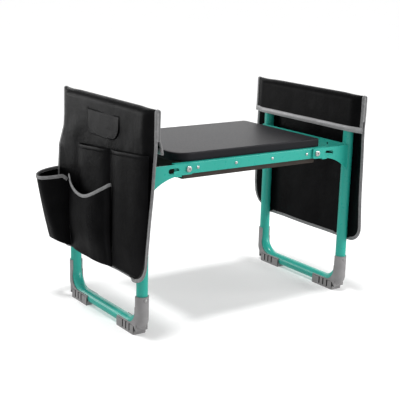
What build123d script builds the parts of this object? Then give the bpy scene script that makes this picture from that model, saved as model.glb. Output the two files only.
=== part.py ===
from build123d import *
import os

# Folding garden kneeler seat.
# +Z is up, X runs along the seat, -Y is the front. The origin is on the floor under the seat's centre.
# Everything is in millimetres. The end frames are drawn once at +X and mirrored for the -X end.

# ---------------------------------------------------------------- driving dimensions
OVERALL_HEIGHT = 490.0      # top of the pouch where it folds over the top bar
SEAT_HEIGHT = 386.0         # top of the foam pad
LEG_X = 285.0               # leg tube axis, from the seat's centre
LEG_Y = 148.5               # leg tube axis, from the seat's centre line
TUBE_R = 12.5               # 25 mm round steel tube
TUBE_WALL = 1.2
FLOOR_BAR_Z = 17.0          # axis of the bar that runs along the floor
LOWER_BEND_R = 52.0
UPPER_BEND_R = 45.0
TUBE_JOINT_Z = 400.0        # where the lower and upper tubes meet, behind the pouch flap

PIVOT_X = 180.0             # hinge bolt, from the seat's centre
PIVOT_Z = 355.0
BOLT_R = 4.0                # M8 shoulder
BOLT_FIT = 0.05             # radial running clearance in the bracket

# seat sandwich: foam pad, board held in two channel rails, base board
PAD_LENGTH, PAD_WIDTH = 401.0, 287.0
PAD_CORNER_LEFT, PAD_CORNER_RIGHT, PAD_EDGE = 36.0, 8.0, 2.0
RAIL_HALF_LENGTH = 212.0
RAIL_HEIGHT, RAIL_DEPTH, RAIL_WALL = 24.0, 11.6, 2.0
RAIL_Y = 153.6              # outer face of each rail's web
BOARD_LENGTH = 392.0
BOARD_EDGE_LENGTH = 330.0   # stretch of the board that sits inside the rails
BASE_LENGTH, BASE_WIDTH, BASE_THICKNESS = 374.0, 288.0, 12.5
SCREW_PITCH, SCREWS_PER_RAIL, SCREW_R = 101.6, 4, 2.0

# hinge stack, outwards from the rail: washer, bracket, bolt head
WASHER_R, WASHER_THICKNESS = 8.5, 2.4
BRACKET_GAP = 0.3
BRACKET_THICKNESS = 2.5
BOLT_HEAD_R, BOLT_HEAD_HEIGHT = 6.6, 3.4
NUT_ACROSS_FLATS, NUT_THICKNESS = 13.0, 5.6

CROSS_PLATE_THICKNESS = 2.9
CROSS_PLATE_TOP, CROSS_PLATE_BOTTOM = 370.0, 343.0
CROSS_PLATE_HOLE_R, CROSS_PLATE_HOLE_Y, CROSS_PLATE_HOLE_Z = 3.2, 94.0, 361.0

# moulded feet
FOOT_SLEEVE_R = 15.0
FOOT_TOP = 89.0
FOOT_SOLE_HALF_WIDTH = 16.0
FOOT_SOLE_INSET = 7.5       # front of the sole, inside the leg axis
FOOT_SOLE_LENGTH = 72.0
FOOT_SOLE_TOP = 20.0
FOOT_SLEEVE_BOTTOM = 9.0
FOOT_BEND_R = 15.3          # centre line of the sleeve where it turns in under the leg
FOOT_SCREW_Z, FOOT_SCREW_R = 82.0, 3.2
FOOT_WRAP = 6.0             # how far the shell reaches past the tube's axis
FOOT_OPEN_R = 30.0          # corner of the shell's open side, inside the leg's bend
FOOT_SLOTS, FOOT_SLOT_PITCH, FOOT_SLOT_WIDTH, FOOT_SLOT_DEPTH = 3, 14.0, 4.0, 2.0

# pouches
POUCH_HALF_WIDTH = 201.0
POUCH_BOTTOM = 125.0
POUCH_CORNER_R = 42.0
CLOTH = 2.4
POUCH_INNER_R = TUBE_R + 0.3
BINDING_WIDTH, BINDING_THICKNESS = 4.0, 3.4
FLAP_BOTTOM = 400.0
BAND_HEIGHT, BAND_THICKNESS = 11.0, 1.3

# pockets on the -X pouch, given as (low Y, high Y)
POCKET_FLOOR = POUCH_BOTTOM + BINDING_WIDTH + 2
TOOL_POCKET_Y, TOOL_POCKET_TOP, TOOL_POCKET_DEPTH = (-192.0, 105.0), 386.0, 16.0
TOOL_POCKET_DIVIDER_Y = -43.0
TOOL_POCKET_CORNER_R = 36.0
SCOOP_POCKET_Y, SCOOP_POCKET_TOP, SCOOP_POCKET_DEPTH = (-56.0, 112.0), 312.0, 20.0
SCOOP_DIP = 34.0
CUP_Y_TOP, CUP_Y_BOTTOM, CUP_TOP = (117.0, 203.0), (127.0, 199.0), 302.0
CUP_DEPTH_TOP, CUP_DEPTH_BOTTOM = 80.0, 38.0
UPPER_FLAP_Y, UPPER_FLAP_Z, UPPER_FLAP_THICKNESS = (-72.0, 65.0), (408.0, 462.0), 1.8

# pocket on the +X pouch
FLAT_POCKET_HALF_WIDTH, FLAT_POCKET_Z, FLAT_POCKET_THICKNESS = 150.0, (150.0, 345.0), 6.0

FIT = 0.1                   # gap between pieces of one body that are pushed together

# ---------------------------------------------------------------- worked-out places
RAIL_TOP = PIVOT_Z + RAIL_HEIGHT / 2
RAIL_BOTTOM = PIVOT_Z - RAIL_HEIGHT / 2
TOP_BAR_Z = OVERALL_HEIGHT - POUCH_INNER_R - BINDING_THICKNESS
BRACKET_IN = RAIL_Y + WASHER_THICKNESS + BRACKET_GAP
BRACKET_OUT = BRACKET_IN + BRACKET_THICKNESS
HEAD_IN = BRACKET_OUT + BRACKET_GAP
PANEL_IN = LEG_X + POUCH_INNER_R
PANEL_OUT = PANEL_IN + CLOTH
CUP_BACK = PANEL_IN + BINDING_THICKNESS + 0.2


# ---------------------------------------------------------------- helpers
def span_box(x, y, z):
    """A box from its low and high limits along each axis."""
    size = [hi - lo for lo, hi in (x, y, z)]
    middle = [(hi + lo) / 2 for lo, hi in (x, y, z)]
    return Pos(*middle) * Box(*size)


def rod_y(x, z, radius, y_from, y_to):
    """A round rod along Y."""
    return Pos(x, (y_from + y_to) / 2, z) * Rot(90, 0, 0) * Cylinder(radius, abs(y_to - y_from))


def rod_x(y, z, radius, x_from, x_to):
    """A round rod along X."""
    return Pos((x_from + x_to) / 2, y, z) * Rot(0, 90, 0) * Cylinder(radius, abs(x_to - x_from))


def plate_xz(edges, y_from, y_to):
    """A flat plate from edges drawn in the XZ plane, thick along Y."""
    face = make_face(edges)
    return Pos(0, y_from, 0) * extrude(face, y_to - y_from, dir=(0, 1, 0))


def plate_yz(edges, x_from, x_to):
    """A flat plate from edges drawn in the YZ plane, thick along X."""
    face = make_face(edges)
    return Pos(x_from, 0, 0) * extrude(face, x_to - x_from, dir=(1, 0, 0))


def front_and_back(shape):
    """A front piece and its mirror image at the back."""
    return [shape, mirror(shape, about=Plane.XZ)]


def rounded_outline(half_width, bottom, corner_r, top):
    """Edges in the YZ plane: straight sides and rounded bottom corners."""
    corners = [(0, -half_width, top), (0, -half_width, bottom), (0, half_width, bottom), (0, half_width, top)]
    return [FilletPolyline(*corners, radius=corner_r), Line(corners[-1], corners[0])]


# ---------------------------------------------------------------- seat
def seat_pad():
    length, width = PAD_LENGTH / 2, PAD_WIDTH / 2
    pad = span_box((-length, length), (-width, width), (RAIL_TOP, SEAT_HEIGHT))
    upright = pad.edges().filter_by(Axis.Z)
    left = upright.filter_by(lambda edge: edge.center().X < 0)
    pad = fillet(left, PAD_CORNER_LEFT)
    right = pad.edges().filter_by(Axis.Z).filter_by(lambda edge: edge.center().X > length - 1)
    pad = fillet(right, PAD_CORNER_RIGHT)
    return fillet(pad.faces().sort_by(Axis.Z)[-1].edges(), PAD_EDGE)


def screw_places():
    first = -SCREW_PITCH * (SCREWS_PER_RAIL - 1) / 2
    return [first + SCREW_PITCH * i for i in range(SCREWS_PER_RAIL)]


def seat_board():
    inside = RAIL_Y - RAIL_DEPTH - 0.2
    edge_y = RAIL_Y - RAIL_WALL - 0.2
    middle = span_box((-BOARD_LENGTH / 2, BOARD_LENGTH / 2), (-inside, inside), (RAIL_BOTTOM, RAIL_TOP))
    edge_z = (RAIL_BOTTOM + RAIL_WALL + 0.2, RAIL_TOP - RAIL_WALL - 0.2)
    board = middle + span_box((-BOARD_EDGE_LENGTH / 2, BOARD_EDGE_LENGTH / 2), (-edge_y, edge_y), edge_z)
    for x in screw_places():
        for hole in front_and_back(rod_y(x, PIVOT_Z, SCREW_R + 0.05, -edge_y - 1, -edge_y + 14)):
            board -= hole
    return board


def base_board():
    low = RAIL_BOTTOM - BASE_THICKNESS
    length, width = BASE_LENGTH / 2, BASE_WIDTH / 2
    board = span_box((-length, length), (-width, width), (low, RAIL_BOTTOM))
    board = fillet(board.edges().filter_by(Axis.Z), 5)
    return fillet(board.faces().sort_by(Axis.Z)[0].edges(), 1.5)


def front_rail():
    """A channel, open towards the seat, that holds the edge of the board."""
    length, back = RAIL_HALF_LENGTH, -RAIL_Y + RAIL_DEPTH
    bar = span_box((-length, length), (-RAIL_Y, back), (RAIL_BOTTOM, RAIL_TOP))
    hollow = span_box((-length - 1, length + 1), (-RAIL_Y + RAIL_WALL, back + 1),
                      (RAIL_BOTTOM + RAIL_WALL, RAIL_TOP - RAIL_WALL))
    outer_edges = bar.edges().filter_by(Axis.X).filter_by(lambda edge: edge.center().Y < -RAIL_Y + 1)
    rail = fillet(outer_edges, 1.5) - hollow
    for x in (-PIVOT_X, PIVOT_X):
        rail -= rod_y(x, PIVOT_Z, BOLT_R + BOLT_FIT, -RAIL_Y - 1, -RAIL_Y + RAIL_WALL + 1)
    for x in screw_places():
        rail -= rod_y(x, PIVOT_Z, SCREW_R + 0.05, -RAIL_Y - 1, -RAIL_Y + RAIL_WALL + 1)
    return rail


def rail_screw(x):
    """A round-head screw through the rail into the board's edge."""
    head = rod_y(x, PIVOT_Z, 3.5, -RAIL_Y - 1.9, -RAIL_Y)
    head = fillet(head.faces().sort_by(Axis.Y)[0].edges(), 1.4)
    return head + rod_y(x, PIVOT_Z, SCREW_R, -RAIL_Y, -RAIL_Y + RAIL_WALL + 11)


def pivot_bolt():
    """Shoulder bolt on the front hinge at +X. Its head has a hexagon socket."""
    head = rod_y(PIVOT_X, PIVOT_Z, BOLT_HEAD_R, -HEAD_IN - BOLT_HEAD_HEIGHT, -HEAD_IN)
    head = fillet(head.faces().sort_by(Axis.Y)[0].edges(), 1.6)
    socket = Pos(PIVOT_X, -HEAD_IN - BOLT_HEAD_HEIGHT, PIVOT_Z) * Rot(90, 0, 0)
    head -= socket * extrude(RegularPolygon(2.9, 6), 1.8, both=True)
    return head + rod_y(PIVOT_X, PIVOT_Z, BOLT_R, -HEAD_IN, -RAIL_Y + RAIL_WALL + NUT_THICKNESS + 1.4)


def pivot_nut():
    start = -RAIL_Y + RAIL_WALL
    hexagon = RegularPolygon(NUT_ACROSS_FLATS / 2, 6, major_radius=False)
    nut = Pos(PIVOT_X, start, PIVOT_Z) * Rot(-90, 0, 0) * extrude(hexagon, NUT_THICKNESS)
    return nut - rod_y(PIVOT_X, PIVOT_Z, BOLT_R + BOLT_FIT, start - 1, start + NUT_THICKNESS + 1)


def pivot_washer():
    ring = rod_y(PIVOT_X, PIVOT_Z, WASHER_R, -RAIL_Y - WASHER_THICKNESS, -RAIL_Y)
    return ring - rod_y(PIVOT_X, PIVOT_Z, BOLT_R + BOLT_FIT, -RAIL_Y - WASHER_THICKNESS - 1, -RAIL_Y + 1)


# ---------------------------------------------------------------- end frame, drawn at +X
def leg_path(end_z, bar_z, bend_r):
    """Centre line of a U-shaped tube: two uprights and the bar that joins them."""
    points = [(LEG_X, -LEG_Y, end_z), (LEG_X, -LEG_Y, bar_z), (LEG_X, LEG_Y, bar_z), (LEG_X, LEG_Y, end_z)]
    return FilletPolyline(*points, radius=bend_r)


def swept_round(path, radius):
    return sweep(path.location_at(0) * Circle(radius), path=path)


def u_tube(end_z, bar_z, bend_r):
    path = leg_path(end_z, bar_z, bend_r)
    return swept_round(path, TUBE_R) - swept_round(path, TUBE_R - TUBE_WALL)


def hinge_bracket():
    """Pressed plate outside the front rail, welded to the leg. It flares down towards the tube."""
    inboard, flare_start = (PIVOT_X - 11.5, 0, RAIL_BOTTOM), (PIVOT_X + 15, 0, RAIL_BOTTOM)
    flare_end = (LEG_X, 0, RAIL_BOTTOM - 45)
    corners = [(LEG_X, 0, RAIL_TOP), (PIVOT_X - 11.5, 0, RAIL_TOP), inboard, flare_start]
    flare = ThreePointArc(flare_start, (PIVOT_X + 65, 0, RAIL_BOTTOM - 12), flare_end)
    plate = plate_xz([FilletPolyline(*corners, radius=5), flare, Line(flare_end, corners[0])],
                     -BRACKET_OUT, -BRACKET_IN)

    slot_x, slot_z, slot_length, slot_height = PIVOT_X + 37, PIVOT_Z - 1, 27.0, 11.0
    slot = extrude(SlotOverall(slot_length, slot_height), 10, both=True)
    plate -= Pos(slot_x, -BRACKET_IN, slot_z) * Rot(90, 0, 0) * slot

    # tongue pressed out of the slot's lower half, rooted at its inboard end
    root, tip = slot_x - slot_length / 2 - 0.5, slot_x + 4
    out_y, in_y = -BRACKET_OUT, -BRACKET_OUT + 1.8
    tongue = make_face(Polyline((root, in_y), (root, out_y), (slot_x - 6, out_y - 1.6),
                                (tip, out_y - 6.0), (tip - 0.9, out_y - 4.2),
                                (slot_x - 6.6, in_y - 1.2), (root, in_y)))
    plate += Pos(0, 0, slot_z - 5.2) * extrude(tongue, 4.6)

    # stop lip bent in under the rail's end: it carries the load when the legs are opened out
    lip_x = (PIVOT_X + 17, PIVOT_X + 31)
    plate += span_box(lip_x, (-BRACKET_OUT, -RAIL_Y + 7), (RAIL_BOTTOM - 3.2, RAIL_BOTTOM - BRACKET_GAP))

    plate -= rod_y(PIVOT_X, PIVOT_Z, BOLT_R + BOLT_FIT, -BRACKET_OUT - 1, -BRACKET_IN + 1)
    return plate - Pos(LEG_X, -LEG_Y, PIVOT_Z) * Cylinder(TUBE_R + FIT, 200)


def cross_plate():
    """Flat strip welded across the two legs, with two holes."""
    outer_x = LEG_X - TUBE_R - FIT / 2
    half = BRACKET_IN - 0.2
    plate = span_box((outer_x - CROSS_PLATE_THICKNESS, outer_x), (-half, half),
                     (CROSS_PLATE_BOTTOM, CROSS_PLATE_TOP))
    for y in (-CROSS_PLATE_HOLE_Y, CROSS_PLATE_HOLE_Y):
        plate -= rod_x(y, CROSS_PLATE_HOLE_Z, CROSS_PLATE_HOLE_R, outer_x - 5, outer_x + 5)
    return plate


def inside_of_bend():
    """The space inside the leg's bend, which the foot leaves open."""
    y_side, bar_top = -LEG_Y + FOOT_WRAP, FLOOR_BAR_Z + FOOT_WRAP
    corners = [(0, y_side, FOOT_TOP + 5), (0, y_side, bar_top), (0, 0, bar_top)]
    edges = [FilletPolyline(*corners, radius=FOOT_OPEN_R),
             Polyline((0, 0, bar_top), (0, 0, FOOT_TOP + 5), (0, y_side, FOOT_TOP + 5))]
    return plate_yz(edges, LEG_X - 30, LEG_X + 30)


def front_foot():
    """Moulded foot: a sleeve that follows the leg round its bend, on a blocky slotted sole."""
    sole_front = -LEG_Y + FOOT_SOLE_INSET
    sole_back = sole_front + FOOT_SOLE_LENGTH
    turn_z = FOOT_SLEEVE_BOTTOM + FOOT_SLEEVE_R
    points = [(LEG_X, -LEG_Y, FOOT_TOP), (LEG_X, -LEG_Y, turn_z), (LEG_X, sole_back, turn_z)]
    sleeve = swept_round(FilletPolyline(*points, radius=FOOT_BEND_R), FOOT_SLEEVE_R)
    x_sleeve = (LEG_X - FOOT_SLEEVE_R, LEG_X + FOOT_SLEEVE_R)
    x_sole = (LEG_X - FOOT_SOLE_HALF_WIDTH, LEG_X + FOOT_SOLE_HALF_WIDTH)
    shell = span_box(x_sleeve, (-LEG_Y, sole_back), (FOOT_SOLE_TOP / 2, FOOT_TOP - 25))
    sole = span_box(x_sole, (sole_front, sole_back), (0, FOOT_SOLE_TOP))
    sole = chamfer(sole.edges().filter_by(Axis.Z).filter_by(lambda edge: edge.center().Y < -LEG_Y + 20), 2)
    foot = sleeve + shell + sole
    for side in (-1, 1):
        for i in range(FOOT_SLOTS):
            y = sole_front + 18 + FOOT_SLOT_PITCH * i
            x = LEG_X + side * FOOT_SOLE_HALF_WIDTH
            foot -= span_box((x - FOOT_SLOT_DEPTH, x + FOOT_SLOT_DEPTH),
                             (y - FOOT_SLOT_WIDTH / 2, y + FOOT_SLOT_WIDTH / 2), (4, FOOT_SOLE_TOP + 1))
    foot -= inside_of_bend()
    foot -= swept_round(leg_path(FOOT_TOP + 60, FLOOR_BAR_Z, LOWER_BEND_R), TUBE_R + FIT)
    sleeve_front = -LEG_Y - FOOT_SLEEVE_R
    foot -= rod_y(LEG_X, FOOT_SCREW_Z, FOOT_SCREW_R + FIT, sleeve_front - 2, sleeve_front + 0.8)
    return max(foot.solids(), key=lambda solid: solid.volume)


def foot_screw():
    """Small screw that holds the foot's sleeve to the leg."""
    y = -LEG_Y - FOOT_SLEEVE_R
    head = rod_y(LEG_X, FOOT_SCREW_Z, FOOT_SCREW_R, y - 1.4, y + 0.8)
    return fillet(head.faces().sort_by(Axis.Y)[0].edges(), 0.9)


# ---------------------------------------------------------------- pouch, drawn at +X
def fold_profile(inner_r, thickness, flap_bottom):
    """Section of the cloth in the XZ plane: outer panel, fold over the top bar, inner flap."""
    panel_end = POUCH_BOTTOM - 10

    def over_bar(radius, first_side):
        return ThreePointArc((LEG_X + first_side * radius, 0, TOP_BAR_Z), (LEG_X, 0, TOP_BAR_Z + radius),
                             (LEG_X - first_side * radius, 0, TOP_BAR_Z))

    def leaf(side, end_z):
        near, far = LEG_X + side * inner_r, LEG_X + side * (inner_r + thickness)
        return Polyline((near, 0, TOP_BAR_Z), (near, 0, end_z), (far, 0, end_z), (far, 0, TOP_BAR_Z))

    return [leaf(1, panel_end), over_bar(inner_r + thickness, 1),
            leaf(-1, flap_bottom), over_bar(inner_r, -1)]


def pouch_outline(inset):
    """Solid that trims the cloth to the pouch's outline, smaller by inset."""
    edges = rounded_outline(POUCH_HALF_WIDTH - inset, POUCH_BOTTOM + inset, POUCH_CORNER_R - inset,
                            OVERALL_HEIGHT + 20)
    return plate_yz(edges, LEG_X - 60, LEG_X + 60)


def pouch_panel():
    cloth = plate_xz(fold_profile(POUCH_INNER_R, CLOTH, FLAP_BOTTOM), -POUCH_HALF_WIDTH, POUCH_HALF_WIDTH)
    return cloth & pouch_outline(BINDING_WIDTH)


def pouch_binding():
    """Tape along the pouch's side and bottom edges."""
    section = fold_profile(POUCH_INNER_R, BINDING_THICKNESS, FLAP_BOTTOM)
    tape = plate_xz(section, -POUCH_HALF_WIDTH, POUCH_HALF_WIDTH)
    return tape & (pouch_outline(0) - pouch_outline(BINDING_WIDTH))


def pouch_band():
    """Reflective band sewn to the lower edge of the inner flap."""
    x = LEG_X - POUCH_INNER_R - CLOTH
    y = POUCH_HALF_WIDTH - BINDING_WIDTH
    return span_box((x - BAND_THICKNESS, x), (-y, y), (FLAP_BOTTOM, FLAP_BOTTOM + BAND_HEIGHT))


def tool_pocket():
    """Two open-topped compartments side by side on the outer panel."""
    def upright(x, y, low_z, high_z, near_r):
        corners = [(0, y[0], high_z), (0, y[0], low_z), (0, y[1], low_z), (0, y[1], high_z)]
        return plate_yz([FilletPolyline(*corners, radius=[near_r, 4]), Line(corners[-1], corners[0])], *x)

    front = PANEL_OUT + TOOL_POCKET_DEPTH
    low, high = TOOL_POCKET_Y
    near = (low + CLOTH, TOOL_POCKET_DIVIDER_Y - CLOTH / 2)
    far = (TOOL_POCKET_DIVIDER_Y + CLOTH / 2, high - CLOTH)
    pocket = upright((PANEL_OUT, front), (low, high), POCKET_FLOOR, TOOL_POCKET_TOP, TOOL_POCKET_CORNER_R)
    for y, corner_r in ((near, TOOL_POCKET_CORNER_R - CLOTH), (far, 4)):
        inside_x = (PANEL_OUT - 1, front - CLOTH)
        pocket -= upright(inside_x, y, POCKET_FLOOR + CLOTH, TOOL_POCKET_TOP + 1, corner_r)
    return pocket


def scoop_pocket():
    """Open pocket in front of the tool pocket, with a rim that dips in the middle."""
    back = PANEL_OUT + TOOL_POCKET_DEPTH
    front = back + SCOOP_POCKET_DEPTH
    low, high = SCOOP_POCKET_Y
    pocket = span_box((back, front), (low, high), (POCKET_FLOOR, SCOOP_POCKET_TOP))
    pocket -= span_box((back - 1, front - CLOTH), (low + CLOTH, high - CLOTH),
                       (POCKET_FLOOR + CLOTH, SCOOP_POCKET_TOP + 1))
    half_chord = (high - low) / 2 - 4
    scoop_r = (half_chord ** 2 + SCOOP_DIP ** 2) / (2 * SCOOP_DIP)
    dip_z = SCOOP_POCKET_TOP - SCOOP_DIP + scoop_r
    return pocket - rod_x((low + high) / 2, dip_z, scoop_r, back - 1, front + 1)


def cup_section(y_limits, depth, corner_r, z, inset):
    """D-shaped outline of the cup pocket at one height, smaller by inset."""
    low, high = y_limits[0] + inset, y_limits[1] - inset
    back, front = CUP_BACK + inset, CUP_BACK + depth - inset
    corners = [(back, low, z), (front, low, z), (front, high, z), (back, high, z)]
    return make_face([FilletPolyline(*corners, radius=corner_r - inset), Line(corners[-1], corners[0])])


def cup_pocket():
    """Deep pocket for a drinks cup. It narrows towards its floor."""
    def body(inset, low_z, high_z):
        return loft([cup_section(CUP_Y_BOTTOM, CUP_DEPTH_BOTTOM, 16, low_z, inset),
                     cup_section(CUP_Y_TOP, CUP_DEPTH_TOP, 38, high_z, inset)])
    return body(0, POCKET_FLOOR, CUP_TOP) - body(CLOTH, POCKET_FLOOR + CLOTH, CUP_TOP + 0.01)


def upper_flap():
    """Flap with rounded lower corners above the tool pocket."""
    (low_y, high_y), (low_z, high_z) = UPPER_FLAP_Y, UPPER_FLAP_Z
    corners = [(0, low_y, high_z), (0, low_y, low_z), (0, high_y, low_z), (0, high_y, high_z)]
    outline = [FilletPolyline(*corners, radius=30), Line(corners[-1], corners[0])]
    return plate_yz(outline, PANEL_OUT, PANEL_OUT + UPPER_FLAP_THICKNESS)


def flat_pocket():
    """Wide flat pocket on the outside of the +X pouch."""
    half = FLAT_POCKET_HALF_WIDTH
    pocket = span_box((PANEL_OUT, PANEL_OUT + FLAT_POCKET_THICKNESS), (-half, half), FLAT_POCKET_Z)
    return fillet(pocket.edges().filter_by(Axis.X).filter_by(lambda edge: edge.center().Z < 200), 22)


# ---------------------------------------------------------------- assembly
def end_frame_nodes():
    """Pieces of one end frame at +X, without the side's name."""
    foot_front, foot_rear = front_and_back(front_foot())
    bracket_front, bracket_rear = front_and_back(hinge_bracket())
    return {
        "lower_leg_tube": [u_tube(TUBE_JOINT_Z, FLOOR_BAR_Z, LOWER_BEND_R)],
        "upper_leg_tube": [u_tube(TUBE_JOINT_Z, TOP_BAR_Z, UPPER_BEND_R)],
        "front_hinge_bracket": [bracket_front],
        "rear_hinge_bracket": [bracket_rear],
        "cross_plate": [cross_plate()],
        "front_foot": [foot_front],
        "rear_foot": [foot_rear],
        "foot_screws": front_and_back(foot_screw()),
        "pouch_panel": [pouch_panel()],
        "pouch_binding": [pouch_binding()],
        "pouch_band": [pouch_band()],
        "pivot_bolts": front_and_back(pivot_bolt()),
        "pivot_nuts": front_and_back(pivot_nut()),
        "pivot_washers": front_and_back(pivot_washer()),
    }


def mirrored_to_left(shapes):
    return [mirror(shape, about=Plane.YZ) for shape in shapes]


rail = front_rail()
screws = [rail_screw(x) for x in screw_places()]
nodes = {
    "seat_pad": [seat_pad()],
    "seat_board": [seat_board()],
    "base_board": [base_board()],
    "front_rail": [rail],
    "rear_rail": [mirror(rail, about=Plane.XZ)],
    "front_rail_screws": screws,
    "rear_rail_screws": [mirror(screw, about=Plane.XZ) for screw in screws],
    "right_pouch_flat_pocket": [flat_pocket()],
    "left_pouch_tool_pocket": mirrored_to_left([tool_pocket()]),
    "left_pouch_scoop_pocket": mirrored_to_left([scoop_pocket()]),
    "left_pouch_cup_pocket": mirrored_to_left([cup_pocket()]),
    "left_pouch_upper_flap": mirrored_to_left([upper_flap()]),
}
for name, shapes in end_frame_nodes().items():
    nodes["right_" + name] = shapes
    nodes["left_" + name] = mirrored_to_left(shapes)

os.makedirs("parts", exist_ok=True)
for name, shapes in nodes.items():
    solids = [solid for shape in shapes for solid in shape.solids()]
    export_step(Compound(children=solids) if len(solids) > 1 else solids[0], f"parts/{name}.step")
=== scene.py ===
import math

import bmesh
import bpy
import numpy as np
from mathutils import Matrix, Vector, noise


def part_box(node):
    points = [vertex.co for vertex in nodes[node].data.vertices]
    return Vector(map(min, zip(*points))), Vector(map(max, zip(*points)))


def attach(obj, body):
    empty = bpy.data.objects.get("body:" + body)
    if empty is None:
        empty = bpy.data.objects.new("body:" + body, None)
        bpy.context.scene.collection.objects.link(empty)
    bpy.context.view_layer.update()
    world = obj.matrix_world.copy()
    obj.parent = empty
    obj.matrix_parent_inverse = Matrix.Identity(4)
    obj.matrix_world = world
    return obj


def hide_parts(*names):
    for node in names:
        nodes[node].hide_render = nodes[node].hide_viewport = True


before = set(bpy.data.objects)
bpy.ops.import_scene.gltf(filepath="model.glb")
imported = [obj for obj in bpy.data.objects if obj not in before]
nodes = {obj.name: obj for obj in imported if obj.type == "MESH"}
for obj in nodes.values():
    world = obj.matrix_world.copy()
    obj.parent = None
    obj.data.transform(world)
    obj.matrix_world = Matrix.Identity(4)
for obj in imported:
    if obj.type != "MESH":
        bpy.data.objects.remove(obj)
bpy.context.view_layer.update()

scene = bpy.context.scene
MM = 0.001

# Lengths in this script are millimetres until a mesh is made. The object's places come from the CAD boxes.
# Pouch pieces are drawn in side coordinates: (distance outwards from the seat's centre, Y, Z).


def node_box(name):
    """The low and high corners of a CAD piece, in millimetres."""
    low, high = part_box(name)
    return np.array(low) / MM, np.array(high) / MM


tube_low, tube_high = node_box("right_lower_leg_tube")
TUBE_R = (tube_high[0] - tube_low[0]) / 2
LEG_X = (tube_high[0] + tube_low[0]) / 2
LEG_Y = tube_high[1] - TUBE_R
BAR_TOP = node_box("right_upper_leg_tube")[1][2]
binding_low, binding_high = node_box("right_pouch_binding")
POUCH_HALF = binding_high[1]
POUCH_BOTTOM, POUCH_TOP = binding_low[2], binding_high[2]
FLAP_BOTTOM = node_box("right_pouch_band")[0][2]
CLOTH = 2.0                     # thickness of the pouch panel
POCKET_CLOTH = 1.6
CUP_CLOTH = 1.8
UPPER_FLAP_CLOTH = 1.1
TAPE_THICKNESS = 0.65
CORNER_R = {"left": 47.0, "right": 38.0}     # the panel's lower corners
EDGE_GAP = 0.9                  # from the panel's edge to the outside of its tape


# ================================================================ materials
class Finish:
    """One procedural material: a Principled shader, and the nodes that vary it over the surface."""

    def __init__(self, name, **sockets):
        self.material = bpy.data.materials.new(name)
        self.material.use_nodes = True
        self.tree = self.material.node_tree
        self.shader = self.tree.nodes["Principled BSDF"]
        for socket, value in sockets.items():
            self.shader.inputs[socket.replace("_", " ")].default_value = value
        self.place = self.add("ShaderNodeTexCoord").outputs["Object"]

    def add(self, kind, links=(), values=(), **settings):
        node = self.tree.nodes.new(kind)
        for key, value in settings.items():
            setattr(node, key, value)
        for socket, value in dict(values).items():
            node.inputs[socket].default_value = value
        for socket, source in dict(links).items():
            self.tree.links.new(source, node.inputs[socket])
        return node

    def stretched(self, scale):
        return self.add("ShaderNodeMapping", {"Vector": self.place}, {"Scale": scale}).outputs[0]

    def noise(self, scale, detail=4.0, rough=0.55, place=None):
        values = {"Scale": scale, "Detail": detail, "Roughness": rough}
        return self.add("ShaderNodeTexNoise", {"Vector": place or self.place}, values).outputs["Fac"]

    def cells(self, scale, feature="F1"):
        return self.add("ShaderNodeTexVoronoi", {"Vector": self.place}, {"Scale": scale}, feature=feature).outputs[0]

    def math(self, operation, a, b):
        node = self.add("ShaderNodeMath", operation=operation)
        for socket, value in zip(node.inputs, (a, b)):
            if isinstance(value, (int, float)):
                socket.default_value = value
            else:
                self.tree.links.new(value, socket)
        return node.outputs[0]

    def spread(self, factor, low, high, from_low=0.3, from_high=0.7):
        values = {"From Min": from_low, "From Max": from_high, "To Min": low, "To Max": high}
        return self.add("ShaderNodeMapRange", {"Value": factor}, values).outputs[0]

    def colours(self, factor, *stops):
        ramp = self.add("ShaderNodeValToRGB", {"Fac": factor})
        elements = ramp.color_ramp.elements
        while len(elements) < len(stops):
            elements.new(0.5)
        for element, (position, colour) in zip(elements, stops):
            element.position, element.color = position, (*colour, 1)
        self.tree.links.new(ramp.outputs[0], self.shader.inputs["Base Color"])

    def roughness(self, factor, low, high):
        self.tree.links.new(self.spread(factor, low, high), self.shader.inputs["Roughness"])

    def bump(self, *heights):
        """Each height is (factor, strength, depth in metres)."""
        previous = None
        for factor, strength, depth in heights:
            node = self.add("ShaderNodeBump", {"Height": factor}, {"Strength": strength, "Distance": depth})
            if previous:
                self.tree.links.new(previous, node.inputs["Normal"])
            previous = node.outputs[0]
        self.tree.links.new(previous, self.shader.inputs["Normal"])

    def weave(self, pitch):
        """Over-and-under yarns. The two yarn directions lean on X, so the weave also shows on faces across Y."""
        x, y, z = self.add("ShaderNodeSeparateXYZ", {"Vector": self.place}).outputs
        turn = 2 * math.pi / pitch

        def yarns(direction, lean):
            place = self.math("ADD", direction, self.math("MULTIPLY", x, lean))
            return self.math("SINE", self.math("MULTIPLY", place, turn), 0)

        return self.spread(self.math("MULTIPLY", yarns(y, 0.9), yarns(z, 0.45)), 0, 1, -1, 1)


def teal_paint():
    f = Finish("teal_powder_coat", Coat_Weight=0.12, Coat_Roughness=0.08, Specular_IOR_Level=0.36)
    f.colours(f.noise(9, 3), (0.3, (0.018, 0.345, 0.278)), (0.7, (0.022, 0.380, 0.306)))
    f.roughness(f.noise(140, 3), 0.26, 0.36)
    f.bump((f.noise(620, 2), 0.16, 0.0004), (f.noise(60, 2), 0.10, 0.0006))
    return f.material


def zinc():
    f = Finish("zinc_plated_steel", Metallic=1.0)
    f.colours(f.noise(320, 4), (0.3, (0.62, 0.62, 0.61)), (0.7, (0.82, 0.82, 0.81)))
    f.roughness(f.noise(500, 4), 0.24, 0.42)
    f.bump((f.noise(1400, 3), 0.25, 0.0002))
    return f.material


def moulded_plastic(name, dark, light):
    f = Finish(name, Specular_IOR_Level=0.4)
    f.colours(f.noise(40, 4), (0.3, dark), (0.7, light))
    f.roughness(f.noise(260, 3), 0.42, 0.6)
    f.bump((f.noise(900, 3), 0.30, 0.0003), (f.noise(70, 2), 0.12, 0.0006))
    return f.material


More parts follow.
